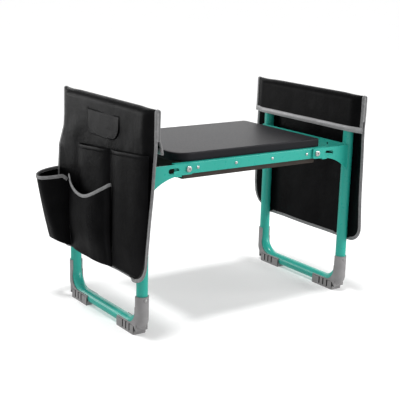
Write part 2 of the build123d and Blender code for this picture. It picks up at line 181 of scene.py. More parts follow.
def foam():
    f = Finish("closed_cell_foam", Specular_IOR_Level=0.16)
    f.colours(f.cells(900), (0.0, (0.007, 0.007, 0.009)), (0.6, (0.012, 0.011, 0.014)))
    f.roughness(f.noise(300, 4), 0.39, 0.47)
    f.bump((f.cells(900), 0.14, 0.0002), (f.noise(160, 3), 0.06, 0.0004))
    return f.material


def board(name, dark, light):
    f = Finish(name, Specular_IOR_Level=0.3)
    grain = f.noise(60, 8, 0.65, f.stretched((0.35, 6.0, 6.0)))
    f.colours(grain, (0.30, dark), (0.52, light), (0.72, dark))
    f.roughness(grain, 0.5, 0.72)
    f.bump((grain, 0.35, 0.0006), (f.noise(900, 2), 0.12, 0.0002))
    return f.material


def coated_cloth():
    f = Finish("coated_oxford_cloth", Specular_IOR_Level=0.045)
    f.colours(f.noise(26, 5), (0.3, (0.0024, 0.0024, 0.0027)), (0.7, (0.0046, 0.0045, 0.0050)))
    f.roughness(f.noise(14, 4, 0.55, f.stretched((1, 1, 0.25))), 0.26, 0.46)
    creases = f.noise(20, 5, 0.6)
    f.bump((f.weave(0.0011), 0.30, 0.0002), (f.noise(170, 4), 0.18, 0.0005), (creases, 0.55, 0.0030))
    return f.material


def tape(name, dark, light, pitch, depth):
    f = Finish(name, Specular_IOR_Level=0.3, Sheen_Weight=0.15, Sheen_Roughness=0.5)
    f.colours(f.noise(150, 4), (0.3, dark), (0.7, light))
    f.roughness(f.noise(80, 3), 0.5, 0.72)
    f.bump((f.weave(pitch), 0.5, depth), (f.noise(120, 3), 0.3, 0.0006))
    return f.material


def reflective_band():
    f = Finish("reflective_band", Metallic=0.25, Specular_IOR_Level=0.5)
    f.colours(f.cells(520, "DISTANCE_TO_EDGE"), (0.0, (0.26, 0.26, 0.265)), (0.25, (0.40, 0.395, 0.40)))
    f.roughness(f.noise(60, 3), 0.34, 0.50)
    f.bump((f.cells(520, "DISTANCE_TO_EDGE"), 0.3, 0.0002), (f.noise(90, 3), 0.25, 0.0008))
    return f.material


def thread(name, dark, light):
    f = Finish(name, Specular_IOR_Level=0.35, Sheen_Weight=0.2)
    f.colours(f.noise(900, 3), (0.3, dark), (0.7, light))
    f.roughness(f.noise(400, 2), 0.5, 0.7)
    f.bump((f.noise(2400, 2, 0.5, f.stretched((1, 3, 3))), 0.5, 0.0002))
    return f.material


TEAL = teal_paint()
ZINC = zinc()
NYLON = moulded_plastic("nylon_washer", (0.42, 0.42, 0.40), (0.55, 0.55, 0.53))
FOOT = moulded_plastic("foot_plastic", (0.215, 0.210, 0.212), (0.270, 0.262, 0.265))
# Near-black plastic for the foot recesses: painted shade, not the plastic's own colour.
RECESS_PAINTED_SHADE = moulded_plastic("foot_recess_painted_shade", (0.012, 0.012, 0.012), (0.022, 0.022, 0.022))
FOAM = foam()
BROWN = board("brown_board", (0.020, 0.013, 0.010), (0.040, 0.028, 0.022))
PLY = board("seat_board", (0.010, 0.008, 0.007), (0.024, 0.018, 0.014))
CLOTH_MATERIAL = coated_cloth()
TAPE = tape("binding_tape", (0.145, 0.145, 0.147), (0.225, 0.225, 0.228), 0.0016, 0.0003)
BAND = reflective_band()
GREY_THREAD = thread("grey_thread", (0.20, 0.20, 0.20), (0.34, 0.34, 0.34))
BLACK_THREAD = thread("black_thread", (0.012, 0.012, 0.013), (0.030, 0.030, 0.032))

# The first word found in a CAD piece's name settles its finish.
finish_words = (("pad", FOAM), ("base_board", BROWN), ("seat_board", PLY), ("washers", NYLON), ("screws", ZINC),
                ("bolts", ZINC), ("nuts", ZINC), ("foot", FOOT), ("binding", TAPE), ("band", BAND),
                ("pouch", CLOTH_MATERIAL), ("", TEAL))
for name, node in nodes.items():
    node.data.materials.clear()
    node.data.materials.append(next(finish for word, finish in finish_words if word in name))

# The faces of the recesses in each foot's sole get a darker, near-black finish: painted shade that stands in for the
# shadow inside them.
SOLE_TOP, RECESS_BOTTOM, RECESS_DEPTH, RECESS_SPAN = 20.5, 3.9, 2.0, 40.0
SKIN = 0.05                     # faces closer than this to the foot's side are not in a recess
for name in ("left_front_foot", "left_rear_foot", "right_front_foot", "right_rear_foot"):
    foot = nodes[name].data
    foot.materials.append(RECESS_PAINTED_SHADE)
    low, high = node_box(name)
    middle_y = abs(low[1] + high[1]) / 2
    for polygon in foot.polygons:
        x, y, z = np.array(polygon.center) / MM
        depth = min(x - low[0], high[0] - x)
        upright = abs(polygon.normal.z) < 0.5
        in_sole = RECESS_BOTTOM < z < SOLE_TOP and abs(y) < middle_y + RECESS_SPAN
        if upright and in_sole and SKIN < depth < RECESS_DEPTH + SKIN:
            # This face takes the painted shade finish.
            polygon.material_index = 1


# ================================================================ mesh tools
def make_piece(name, points, faces, material, body, slot, side=1):
    """A smooth mesh piece from points in millimetres. side -1 mirrors it to the other end of the seat."""
    points = np.array(points, float).reshape(-1, 3) * MM
    points[:, 0] *= side
    mesh = bpy.data.meshes.new(name)
    mesh.from_pydata(points.tolist(), [], [tuple(f) for f in faces])
    work = bmesh.new()
    work.from_mesh(mesh)
    bmesh.ops.recalc_face_normals(work, faces=work.faces)
    work.to_mesh(mesh)
    work.free()
    mesh.polygons.foreach_set("use_smooth", [True] * len(mesh.polygons))
    mesh.materials.append(material)
    piece = bpy.data.objects.new(name, mesh)
    scene.collection.objects.link(piece)
    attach(piece, body)
    return piece


def end_of(side):
    """The mirror sign and the body of the left or right end."""
    return (-1 if side == "left" else 1), side + "_leg_frame"


def smoothstep(value):
    value = np.clip(value, 0, 1)
    return value * value * (3 - 2 * value)


def unit(vectors):
    return vectors / np.maximum(np.linalg.norm(vectors, axis=-1, keepdims=True), 1e-9)


def surface_normals(grid):
    return unit(np.cross(np.gradient(grid, axis=0), np.gradient(grid, axis=1)))


def border(rows, columns):
    """Indices round the edge of a grid, in order."""
    top = [(0, j) for j in range(columns)]
    right = [(i, columns - 1) for i in range(1, rows)]
    bottom = [(rows - 1, j) for j in range(columns - 2, -1, -1)]
    left = [(i, 0) for i in range(rows - 2, 0, -1)]
    return top + right + bottom + left


def three_sides(grid):
    """Indices down one side of a grid, along its first row, and up the other side."""
    rows, columns, _ = grid.shape
    side_a = [(i, 0) for i in range(rows - 1, 0, -1)]
    side_b = [(i, columns - 1) for i in range(1, rows)]
    return side_a + first_row(grid) + side_b


def first_row(grid):
    return [(0, j) for j in range(grid.shape[1])]


def last_row(grid, start=0):
    return [(grid.shape[0] - 1, j) for j in range(start, grid.shape[1])]


def corner_cut(height, radius):
    """How much a rounded lower corner adds to the half width at a height: negative below radius, then zero."""
    if height >= radius:
        return 0.0
    return math.sqrt(max(0, radius ** 2 - (radius - height) ** 2)) - radius


def thick_grid(grid, thickness):
    """Points and faces of a closed sheet, thickness thick, whose middle surface is grid."""
    rows, columns, _ = grid.shape
    normals = surface_normals(grid)
    points = np.concatenate([(grid + normals * thickness / 2).reshape(-1, 3),
                             (grid - normals * thickness / 2).reshape(-1, 3)])
    lower = rows * columns
    faces = []
    for i in range(rows - 1):
        for j in range(columns - 1):
            a, b = i * columns + j, (i + 1) * columns + j
            faces.append((a, b, b + 1, a + 1))
            faces.append((lower + a, lower + a + 1, lower + b + 1, lower + b))
    ring = [i * columns + j for i, j in border(rows, columns)]
    for a, b in zip(ring, ring[1:] + ring[:1]):
        faces.append((a, b, lower + b, lower + a))
    return points, faces


def swept(centres, side_axes, up_axes, section):
    """Points and faces of a section swept along centres. section gives (side, up) offsets at each place."""
    count, around = len(centres), len(section[0])
    points = [centres[i] + side_axes[i] * s + up_axes[i] * u for i in range(count) for s, u in section[i]]
    faces = []
    for i in range(count - 1):
        a, b = i * around, (i + 1) * around
        for k in range(around):
            faces.append((a + k, a + (k + 1) % around, b + (k + 1) % around, b + k))
    faces.append(tuple(range(around)))
    faces.append(tuple(range((count - 1) * around, count * around))[::-1])
    return points, faces


def merged(parts):
    """Several (points, faces) as one."""
    points, faces = [], []
    for part_points, part_faces in parts:
        start = len(points)
        points.extend(np.asarray(part_points).reshape(-1, 3))
        faces.extend(tuple(start + k for k in face) for face in part_faces)
    return points, faces


def edge_path(grid, indices):
    """Places along a grid's edge with the surface normal and the direction into the cloth."""
    normals = surface_normals(grid)
    path = np.array([grid[i, j] for i, j in indices])
    up = np.array([normals[i, j] for i, j in indices])
    rows, columns, _ = grid.shape
    inside = 2                  # this many rows or columns in from the edge
    inner = np.array([grid[min(max(i, inside), rows - 1 - inside), min(max(j, inside), columns - 1 - inside)]
                      for i, j in indices]) - path
    along = unit(np.gradient(path, axis=0))
    inward = unit(np.cross(up, along))
    inward *= np.sign((inward * inner).sum(1, keepdims=True))
    return path, inward, up


def resampled(path, *fields, pitch):
    """A path, and the vectors given along it, at even steps of pitch."""
    steps = np.concatenate([[0], np.cumsum(np.linalg.norm(np.diff(path, axis=0), axis=1))])
    places = np.arange(pitch / 2, steps[-1], pitch)
    return [np.stack([np.interp(places, steps, f[:, k]) for k in range(3)], 1) for f in (path, *fields)]


def bound_edge(path, inward, up, width, cloth=CLOTH, tape_thickness=TAPE_THICKNESS, outside=1.1):
    """Folded tape over a cloth edge: a closed U that reaches width into the cloth on both faces."""
    half = cloth / 2 + tape_thickness
    lip = cloth / 2 - 0.2
    profile = [(width, lip), (width - 0.5, half - 0.15), (width * 0.5, half + 0.12), (0.6, half - 0.05),
               (-outside * 0.75, half * 0.62), (-outside, 0.0), (-outside * 0.75, -half * 0.62),
               (0.6, -half + 0.05), (width * 0.5, -half - 0.12), (width - 0.5, -half + 0.15), (width, -lip)]
    wander = [0.22 * noise.noise(Vector(p) * 0.045) for p in path]
    sections = [[(s + wander[i] * (s > 2), u) for s, u in profile] for i in range(len(path))]
    return swept(path, inward, up, sections)


STITCH_PITCH, STITCH_LENGTH, STITCH_R, STITCH_SIDES = 3.6, 2.5, 0.38, 5


def stitches(path, inward, up, inset, height):
    """A row of thread stitches that sit on a face, inset from the path and height above it."""
    places, sides, normals = resampled(path, inward, up, pitch=STITCH_PITCH)
    parts = []
    rings = ((-0.5, 0.25), (-0.3, 0.9), (0.3, 0.9), (0.5, 0.25))      # (place along the stitch, share of its radius)
    for place, side, normal in zip(places, unit(sides), unit(normals)):
        along = np.cross(normal, side)
        centre = place + side * inset + normal * height
        points, faces = [], []
        for t, swell in rings:
            sink = -abs(t) * 0.5 * STITCH_R
            for k in range(STITCH_SIDES):
                angle = 2 * math.pi * k / STITCH_SIDES
                points.append(centre + along * (t * STITCH_LENGTH) + side * (math.cos(angle) * STITCH_R * swell)
                              + normal * (math.sin(angle) * STITCH_R * swell + sink))
        for ring in range(len(rings) - 1):
            for k in range(STITCH_SIDES):
                a, b = ring * STITCH_SIDES + k, ring * STITCH_SIDES + (k + 1) % STITCH_SIDES
                faces.append((a, b, b + STITCH_SIDES, a + STITCH_SIDES))
        last = (len(rings) - 1) * STITCH_SIDES
        faces += [tuple(range(STITCH_SIDES))[::-1], tuple(range(last, last + STITCH_SIDES))]
        parts.append((points, faces))
    return merged(parts)


def ripple(y, z, seed, size):
    """Soft, uneven creases of stiff cloth."""
    broad = noise.noise(Vector((y * 0.014, z * 0.009, seed)))
    fine = noise.noise(Vector((y * 0.035, z * 0.018, seed + 7)))
    hang = math.sin(y * 0.047 + 1.3 * math.sin(z * 0.011 + seed) + seed)
    return size * (0.9 * broad + 0.35 * fine + 0.45 * hang)


# ================================================================ seat pad
def seat_pad():
    """Foam slab with two large and two small round corners. Its skin is a little uneven, as foam is."""
    left_corner_r, right_corner_r, corner_steps, side_pitch = 34.0, 8.0, 12, 9
    low, high = node_box("seat_pad")
    half_x, half_y = (high[0] - low[0]) / 2, (high[1] - low[1]) / 2
    outline = []
    for corner, start in (((1, -1), -90), ((1, 1), 0), ((-1, 1), 90), ((-1, -1), 180)):
        r = right_corner_r if corner[0] > 0 else left_corner_r
        centre = np.array([corner[0] * (half_x - r), corner[1] * (half_y - r)])
        for k in range(corner_steps + 1):
            angle = math.radians(start + 90 * k / corner_steps)
            outline.append(centre + r * np.array([math.cos(angle), math.sin(angle)]))
    dense = []
    for a, b in zip(outline, outline[1:] + outline[:1]):
        steps = max(1, round(np.linalg.norm(b - a) / side_pitch))
        dense += [a + (b - a) * k / steps for k in range(steps)]
    outline = np.array(dense)
    count = len(outline)

    edge_r, side_dent, top_dent = 2.0, 0.25, 0.14
    rings = [(0.4, low[2] + 0.1), (0.0, low[2] + 0.8)]      # (inset, height), from the sole up
    rings += [(0.0, low[2] + (high[2] - low[2]) * t) for t in (0.3, 0.55, 0.78)]
    rings += [(edge_r * (1 - math.cos(a)), high[2] - edge_r * (1 - math.sin(a)))
              for a in np.linspace(0.1, math.pi / 2, 6)]
    shares = np.linspace(0, 1, 22)[1:]
    points = []
    for inset, z in rings:
        share = 1 - inset / half_y
        for x, y in outline * share:
            dent = side_dent * noise.noise(Vector((x * 0.02, y * 0.02, z * 0.05)))
            outward = unit(np.array([x / half_x, y / half_y]))
            points.append((x + outward[0] * dent, y + outward[1] * dent, z))
    top_share = 1 - edge_r / half_y
    for share in shares:
        for x, y in outline * (top_share * (1 - share)):
            dent = top_dent * noise.noise(Vector((x * 0.008, y * 0.008, 3.1)))
            points.append((x, y, high[2] + dent * smoothstep(share * 6)))
    rows = len(rings) + len(shares)
    faces = [tuple(reversed(range(count)))]
    for i in range(rows - 1):
        for k in range(count):
            a, b = i * count + k, i * count + (k + 1) % count
            faces.append((a, b, b + count, a + count))
    centre_x, centre_y = (high[0] + low[0]) / 2, (high[1] + low[1]) / 2
    points = np.array(points) + np.array([centre_x, centre_y, 0])
    pad = make_piece("foam_seat_pad", points, faces, FOAM, "seat", "pad_foam")
    join_close_points(pad)
    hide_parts("seat_pad")


def join_close_points(piece):
    """Joins points that lie on each other, such as at the middle of a ring pattern."""
    work = bmesh.new()
    work.from_mesh(piece.data)
    bmesh.ops.remove_doubles(work, verts=work.verts, dist=0.02 * MM)
    work.to_mesh(piece.data)
    work.free()


# ================================================================ pouch cloth
# Distance outwards of the cloth's free upright edges, as (height, distance). near is the front, far the back, and
# flap_ is the inner flap.
edges_of = {
    "left": {"near": ((125, 309), (154, 308), (220, 302.6), (336, 292), (400, 287.5), (480, 287)),
             "far": ((125, 306), (300, 303.5), (350, 301.5), (392, 289), (420, 286.5), (480, 286)),
             "flap_near": ((400, 272), (412, 273.5), (432, 280), (484, 280)),
             "flap_far": ((400, 277), (440, 279.5), (484, 279.5))},
    "right": {"near": ((131, 296), (175, 294), (220, 291.5), (331, 287.5), (373, 285.5), (404, 284.5), (441, 286.5),
                       (486, 286.5)),
              "far": ((131, 309), (150, 299), (177, 290), (207, 286.5), (345, 287), (380, 288), (486, 289.5)),
              "flap_near": ((400, 278), (440, 279.5), (484, 279.5)),
              "flap_far": ((400, 282), (440, 283.5), (484, 284))},
}

CLOTH_TOP = POUCH_TOP - 1.7 - CLOTH / 2       # middle of the cloth over the bar, clear of the tape's edge
FOLD_R = CLOTH_TOP - (BAR_TOP - TUBE_R)
PANEL_X = LEG_X + FOLD_R
FLAP_X = LEG_X - FOLD_R
FLAP_ROWS = 23


def pouch_grid(side):
    """Middle surface of the cloth: up the outer panel, over the bar, and down the inner flap."""
    ends_of = edges_of[side]
    bottom_z = POUCH_BOTTOM + (6.0 if side == "right" else 0.0)
    top_z = CLOTH_TOP + (4.5 if side == "left" else 0.0)      # this fold stands a little above the bar
    seed = 2.0 if side == "left" else 11.0
    panel_crease, flap_crease = 2.6, 1.5
    edge_y = POUCH_HALF - EDGE_GAP
    columns = 105
    v = np.linspace(-1, 1, columns)
    v = np.sign(v) * np.abs(v) ** 0.94      # closer together at the free edges
    corner_r = CORNER_R[side]
    low_rows = list(corner_r * (1 - np.cos(np.linspace(0, math.pi / 2, 13))))
    height = top_z - FOLD_R - bottom_z
    rise = low_rows + list(np.linspace(corner_r, height, 84)[1:])
    arc = np.linspace(0, math.pi, 17)[1:]
    drop = np.linspace(0, 1, FLAP_ROWS + 1)[1:]
    rows = []

    def free(j):
        """How far a column is past the leg tube, from 0 at the tube to 1 at the free edge."""
        past_tube = LEG_Y + 13
        return float(smoothstep((abs(v[j]) * POUCH_HALF - past_tube) / (POUCH_HALF - past_tube)))

    def ends(j, z, leaf=""):
        """Where the free edge on this column's side hangs at a height."""
        table = ends_of[leaf + ("near" if v[j] < 0 else "far")]
        return float(np.interp(z, [t[0] for t in table], [t[1] for t in table]))

    def fold(j):
        """Radius and middle of the fold over the bar; it narrows towards the free ends."""
        share = free(j)
        outer = PANEL_X * (1 - share) + ends(j, top_z) * share
        inner = FLAP_X * (1 - share) + ends(j, top_z, "flap_") * share
        return (outer - inner) / 2, (outer + inner) / 2

    def panel_x(j, y, z):
        """On the legs the cloth only stands off outwards. Between them it may sag inwards."""
        bulge = ripple(y, z, seed, panel_crease) * smoothstep((top_z - 12 - z) / 80)
        hollow = 1 - smoothstep((abs(y) - LEG_Y + 48) / 30)
        out = max(0.25, bulge + 0.25) * (1 - hollow) + bulge * 0.8 * hollow
        return (PANEL_X + out) * (1 - free(j)) + (ends(j, z) + bulge * 0.7) * free(j)

    def flap_x(j, y, z):
        bulge = ripple(y, z, seed + 3, flap_crease) * smoothstep((top_z - 8 - z) / 85)
        return (FLAP_X - max(0.0, bulge)) * (1 - free(j)) + (ends(j, z, "flap_") + bulge * 0.4) * free(j)

    for r in rise:
        row = []
        for j in range(columns):
            top_r = fold(j)[0]
            z = bottom_z + r / height * (top_z - top_r - bottom_z)
            y = v[j] * (POUCH_HALF + corner_cut(r, corner_r) - EDGE_GAP)
            row.append((panel_x(j, y, bottom_z + r), y, z + EDGE_GAP))
        rows.append(row)
    for angle in arc:
        row = []
        for j in range(columns):
            r, middle = fold(j)
            y = v[j] * edge_y
            sag = 1.3 * smoothstep((abs(y) - 120) / 45) * (1 - 0.5 * free(j)) * math.sin(angle)
            row.append((middle + r * math.cos(angle), y, top_z - r + r * math.sin(angle) - sag))
        rows.append(row)
    for t in drop:
        row = []
        for j in range(columns):
            r = fold(j)[0]
            y = v[j] * edge_y
            z = (top_z - r) * (1 - t) + (FLAP_BOTTOM + 1.5) * t
            row.append((flap_x(j, y, z), y, z))
        rows.append(row)
    return np.array(rows)


def pouch(side):
    """The cloth that hangs over one bar, with its edge tape, the band on its flap, and their stitches."""
    sign, body = end_of(side)
    tape_width, tape_stitch_inset, band_width, band_stitch_inset = 7.0, 5.4, 12.0, 10.4
    grid = pouch_grid(side)
    cloth = make_piece(side + "_pouch_cloth", *thick_grid(grid, CLOTH), CLOTH_MATERIAL, body, "pouch_cloth", sign)
    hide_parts(side + "_pouch_panel")

    path, inward, up = edge_path(grid, three_sides(grid))
    tape_piece = make_piece(side + "_pouch_edge_tape", *bound_edge(path, inward, up, tape_width), TAPE, body,
                            "binding_tape", sign)
    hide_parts(side + "_pouch_binding")
    rows_of_thread = [stitches(path, inward, up, tape_stitch_inset, face * (CLOTH / 2 + 0.72)) for face in (-1, 1)]
    tape_thread = make_piece(side + "_edge_tape_stitches", *merged(rows_of_thread), GREY_THREAD, body,
                             "binding_tape", sign)

    path, inward, up = edge_path(grid, last_row(grid))
    band = make_piece(side + "_flap_band", *bound_edge(path, inward, up, band_width, CLOTH + 1.5, 0.5, 1.4), BAND,
                      body, "reflective_band", sign)
    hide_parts(side + "_pouch_band")
    band_thread = make_piece(side + "_band_stitches",
                             *stitches(path, inward, up, band_stitch_inset, CLOTH / 2 + 1.3), GREY_THREAD, body,
                             "reflective_band", sign)
    closing = make_piece(side + "_fold_end_tapes", *merged(fold_ends(grid)), TAPE, body, "binding_tape", sign)
    return cloth, [tape_piece, tape_thread, band, band_thread, closing]


def fold_ends(grid):
    """Tape that closes the two open ends of the fold, between the panel's edge and the flap's edge."""
    lowest, bow, across = FLAP_BOTTOM + 26, 0.6, 6
    rows = grid.shape[0]
    panel_rows = rows - FLAP_ROWS - 9       # the panel, without the upper half of the fold
    parts = []
    for column in (0, -1):
        ribbon = []
        for k in range(FLAP_ROWS + 1):
            flap_point = grid[rows - 1 - k, column]
            if flap_point[2] < lowest:
                continue
            panel_row = int(np.argmin(np.abs(grid[:panel_rows, column, 2] - flap_point[2])))
            panel_point = grid[panel_row, column]
            ribbon.append([panel_point * (1 - t) + flap_point * t
                           + np.array([0, -math.copysign(bow * math.sin(math.pi * t), flap_point[1]), 0])
                           for t in np.linspace(0, 1, across)])
        parts.append(thick_grid(np.array(ribbon), 0.9))
    return parts


# ================================================================ pockets
RIM_TAPE_WIDTH, RIM_STITCH_INSET = 7.0, 5.4
DIVIDER_SHARE = 0.502           # the seam between the two tall compartments, as a share of the pocket's width
BOW_POWER = 0.62                # how square a filled compartment's bow is
BOW_RISE = 70.0                 # height above the bottom seam at which it is fully bowed


def pocket_piece(name, grid, sign, body, replaced=None, thickness=POCKET_CLOTH):
    piece = make_piece(name, *thick_grid(grid, thickness), CLOTH_MATERIAL, body, "pouch_cloth", sign)
    if replaced:
        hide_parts(replaced)
    return piece


def seam(points, outward=(1, 0, 0)):
    """A path for a stitch row on the panel: its up direction is outwards."""
    path = np.array(points, float)
    along = unit(np.gradient(path, axis=0))
    up = np.tile(np.array(outward, float), (len(path), 1))
    return path, unit(np.cross(up, along)), up


def tool_pocket(body, sign):
    """Front of the two tall compartments. It bows out between its seams and lies flat at each seam."""
    low, high = node_box("left_pouch_tool_pocket")
    back, depth = PANEL_X + CLOTH / 2 + 0.9, high[0] - low[0] - 1.5
    near_y, far_y, bottom, top = low[1], high[1], low[2], high[2]
    divider = near_y + (far_y - near_y) * DIVIDER_SHARE
    rim_heights = (399, 387, 376)       # at the near seam, the divider and the far seam
    corner_r, columns_each = 40.0, 42

    def rim(y):
        return float(np.interp(y, (near_y, divider, far_y), rim_heights))

    ys = np.concatenate([np.linspace(near_y, divider, columns_each), np.linspace(divider, far_y, columns_each)[1:]])
    zs = np.concatenate([np.linspace(bottom, bottom + corner_r, 16), np.linspace(bottom + corner_r, top, 54)[1:]])
    grid = np.zeros((len(zs), len(ys), 3))
    for i, z in enumerate(zs):
        rise = smoothstep((z - bottom) / BOW_RISE)
        for j, y in enumerate(ys):
            lean = 0.0
            if z < bottom + corner_r and y < near_y + corner_r:
                drop = bottom + corner_r - z
                lean = corner_r - math.sqrt(max(0, corner_r ** 2 - drop ** 2))
            a, b, full = (near_y, divider, 0.90) if y <= divider else (divider, far_y, 1.0)
            share = (y - a) / (b - a)
            bow = max(0.0, math.sin(math.pi * share)) ** BOW_POWER
            bow *= 1 + 0.10 * math.sin(share * 9.5 + 0.5) * smoothstep((z - bottom) / 120)
            crease = 0.8 * ripple(y, z * 0.6, 5.0, 1.0) * bow
            height = (z - bottom) / (top - bottom)
            grid[i, j] = (back + depth * full * bow * (0.22 + 0.78 * rise) * 0.9 + crease, max(y, near_y + lean),
                          bottom + height * (rim(y) - bottom + 1.5 * math.sin(share * math.pi)))
    piece = pocket_piece("left_tool_pocket_front", grid, sign, body, "left_pouch_tool_pocket")
    path, inward, up = edge_path(grid, last_row(grid))
    hem = bound_edge(path, inward, up, 9.0, POCKET_CLOTH, 0.45, 0.5)
    thread = [stitches(path, inward, up, inset, 1.5) for inset in (2.0, 7.6)]
    for column, offset in ((0, 3.0), (-1, -3.0), (columns_each - 1, 0.0)):
        line = grid[2:, column] + np.array([1.4, offset, 0])
        thread.append(stitches(*seam(line), 0, 0.2))
    floor_line = grid[0, 10:] + np.array([1.3, 0, 3.5])
    thread.append(stitches(*seam(floor_line), 0, 0.2))
    return [piece, make_piece("left_tool_pocket_hem", *hem, CLOTH_MATERIAL, body, "pouch_cloth", sign),
            make_piece("left_tool_pocket_stitches", *merged(thread), BLACK_THREAD, body, "pouch_cloth", sign)]


def scoop_pocket(body, sign):
    """Open pocket in front of the tool pocket, with a grey-bound rim that dips in the middle."""
    low, high = node_box("left_pouch_scoop_pocket")
    back = PANEL_X + CLOTH / 2 + 3.0
    near_y, far_y, bottom = low[1], high[1] + 5, low[2]
    front = -low[0] - 2.5
    dip, near_rim, far_rim = 34.0, 317.0, 305.0
    ys = np.linspace(near_y, far_y, 58)
    ts = np.linspace(0, 1, 46)
    grid = np.zeros((len(ts), len(ys), 3))
    for j, y in enumerate(ys):
        share = (y - near_y) / (far_y - near_y)
        rim = near_rim + (far_rim - near_rim) * share - dip * math.sin(math.pi * min(1, max(0, share))) ** 1.05
        bow = max(0.0, math.sin(math.pi * share)) ** 0.5
        if share > 0.5:         # its far edge is sewn to the cup pocket's side, so it stands out there
            bow = 1 - 0.50 * (2 * share - 1) ** 2.2
        for i, t in enumerate(ts):
            z = bottom + t * (rim - bottom)
            rise = 0.42 + 0.58 * smoothstep((z - bottom) / 90)
            base = tool_front_at(y, z, back)
            crease = ripple(y * 1.3, z * 0.7, 21.0, 1.3) * bow
            x = base + 1.0 + (front - base - 1.5) * bow * rise + crease
            grid[i, j] = (x, y + 9 * share ** 3 * (1 - t), z)
    piece = pocket_piece("left_scoop_pocket_front", grid, sign, body, "left_pouch_scoop_pocket")
    path, inward, up = edge_path(grid, last_row(grid))
    rim_tape = bound_edge(path, inward, up, 6.5, POCKET_CLOTH, TAPE_THICKNESS, 1.0)
    rim_thread = stitches(path, inward, up, 5.0, 1.6)
    side_thread = [stitches(*seam(grid[:, column] + np.array([1.3, offset, 0])), 0, 0.1)
                   for column, offset in ((0, 2.5), (-1, -2.5))]
    return [piece, make_piece("left_scoop_rim_tape", *rim_tape, TAPE, body, "binding_tape", sign),
            make_piece("left_scoop_rim_stitches", *rim_thread, GREY_THREAD, body, "binding_tape", sign),
            make_piece("left_scoop_side_stitches", *merged(side_thread), BLACK_THREAD, body, "pouch_cloth", sign)]


def tool_front_at(y, z, back):
    """How far out the tool pocket's front stands behind the scoop pocket."""
    low, high = node_box("left_pouch_tool_pocket")
    divider = low[1] + (high[1] - low[1]) * DIVIDER_SHARE
    a, b = (low[1], divider) if y <= divider else (divider, high[1])
    share = min(1, max(0, (y - a) / (b - a)))
    rise = float(smoothstep((z - low[2]) / BOW_RISE))
    return back + (high[0] - low[0] - 3) * math.sin(math.pi * share) ** BOW_POWER * (0.22 + 0.78 * rise)


def cup_pocket(body, sign):
    """Deep pocket for a cup: a tapered shell sewn to the panel along both upright edges."""
    low, high = node_box("left_pouch_cup_pocket")
    back = -high[0] + 0.6
    bottom, top = low[2], high[2] - 1.5
    depth_top, depth_low = high[0] - low[0] - 6.0, 36.0
    y_top, y_low = (low[1] + 2, high[1] - 2), (low[1] + 12, high[1] - 6)
    tuck_drop, untaped = 22, 4      # the near end of the rim drops behind the scoop pocket, where it has no tape
    angles = np.linspace(0, math.pi, 61)
    ts = np.linspace(0, 1, 44)
    grid = np.zeros((len(ts), len(angles), 3))
    for i, t in enumerate(ts):
        ease = t ** 0.85
        a = y_low[0] + (y_top[0] - y_low[0]) * ease
        b = y_low[1] + (y_top[1] - y_low[1]) * ease
        depth = depth_low + (depth_top - depth_low) * ease
        power = 2.9 - 0.7 * t
        for j, angle in enumerate(angles):
            c, s = math.cos(angle), math.sin(angle)
            y = (a + b) / 2 - (b - a) / 2 * math.copysign(abs(c) ** (2 / power), c)
            x = back + depth * s ** (2 / power)
            z = bottom + t * (top - bottom)
            crease = ripple(y * 1.5 + x, z * 0.8, 33.0, 1.6) * s * smoothstep(t * 4) * (1 - 0.6 * t)
            tuck = tuck_drop * (1 - float(smoothstep(angle / 0.42)))
            lift = (5.0 * abs(c) ** 1.5 - 3.5 * s - tuck) * t + 13 * s * (1 - t) ** 3
            grid[i, j] = (x + crease, y - crease * 0.5 * c, z + lift)
    piece = pocket_piece("left_cup_pocket_wall", grid, sign, body, "left_pouch_cup_pocket", CUP_CLOTH)
    path, inward, up = edge_path(grid, last_row(grid, untaped))
    tape_part = bound_edge(path, inward, up, RIM_TAPE_WIDTH, CUP_CLOTH, TAPE_THICKNESS, 1.0)
    thread = [stitches(path, inward, up, RIM_STITCH_INSET, face * 1.75) for face in (-1, 1)]
    seam_part = bound_edge(*edge_path(grid, first_row(grid)), 5.0, CUP_CLOTH, 0.4, 0.4)
    # Its floor is rings from the wall's foot towards the middle, slightly sagging.
    ring, sag = grid[0], 1.5
    centre = ring.mean(0)
    floor = np.array([[point * (1 - s) + centre * s + np.array([0, 0, sag - sag * s]) for point in ring]
                      for s in np.linspace(0, 1, 9)[:-1]])
    floor_piece = pocket_piece("left_cup_pocket_floor", floor, sign, body, None, 1.4)
    return [piece, floor_piece,
            make_piece("left_cup_rim_tape", *tape_part, TAPE, body, "binding_tape", sign),
            make_piece("left_cup_rim_stitches", *merged(thread), GREY_THREAD, body, "binding_tape", sign),
            make_piece("left_cup_floor_seam", *seam_part, CLOTH_MATERIAL, body, "pouch_cloth", sign)]


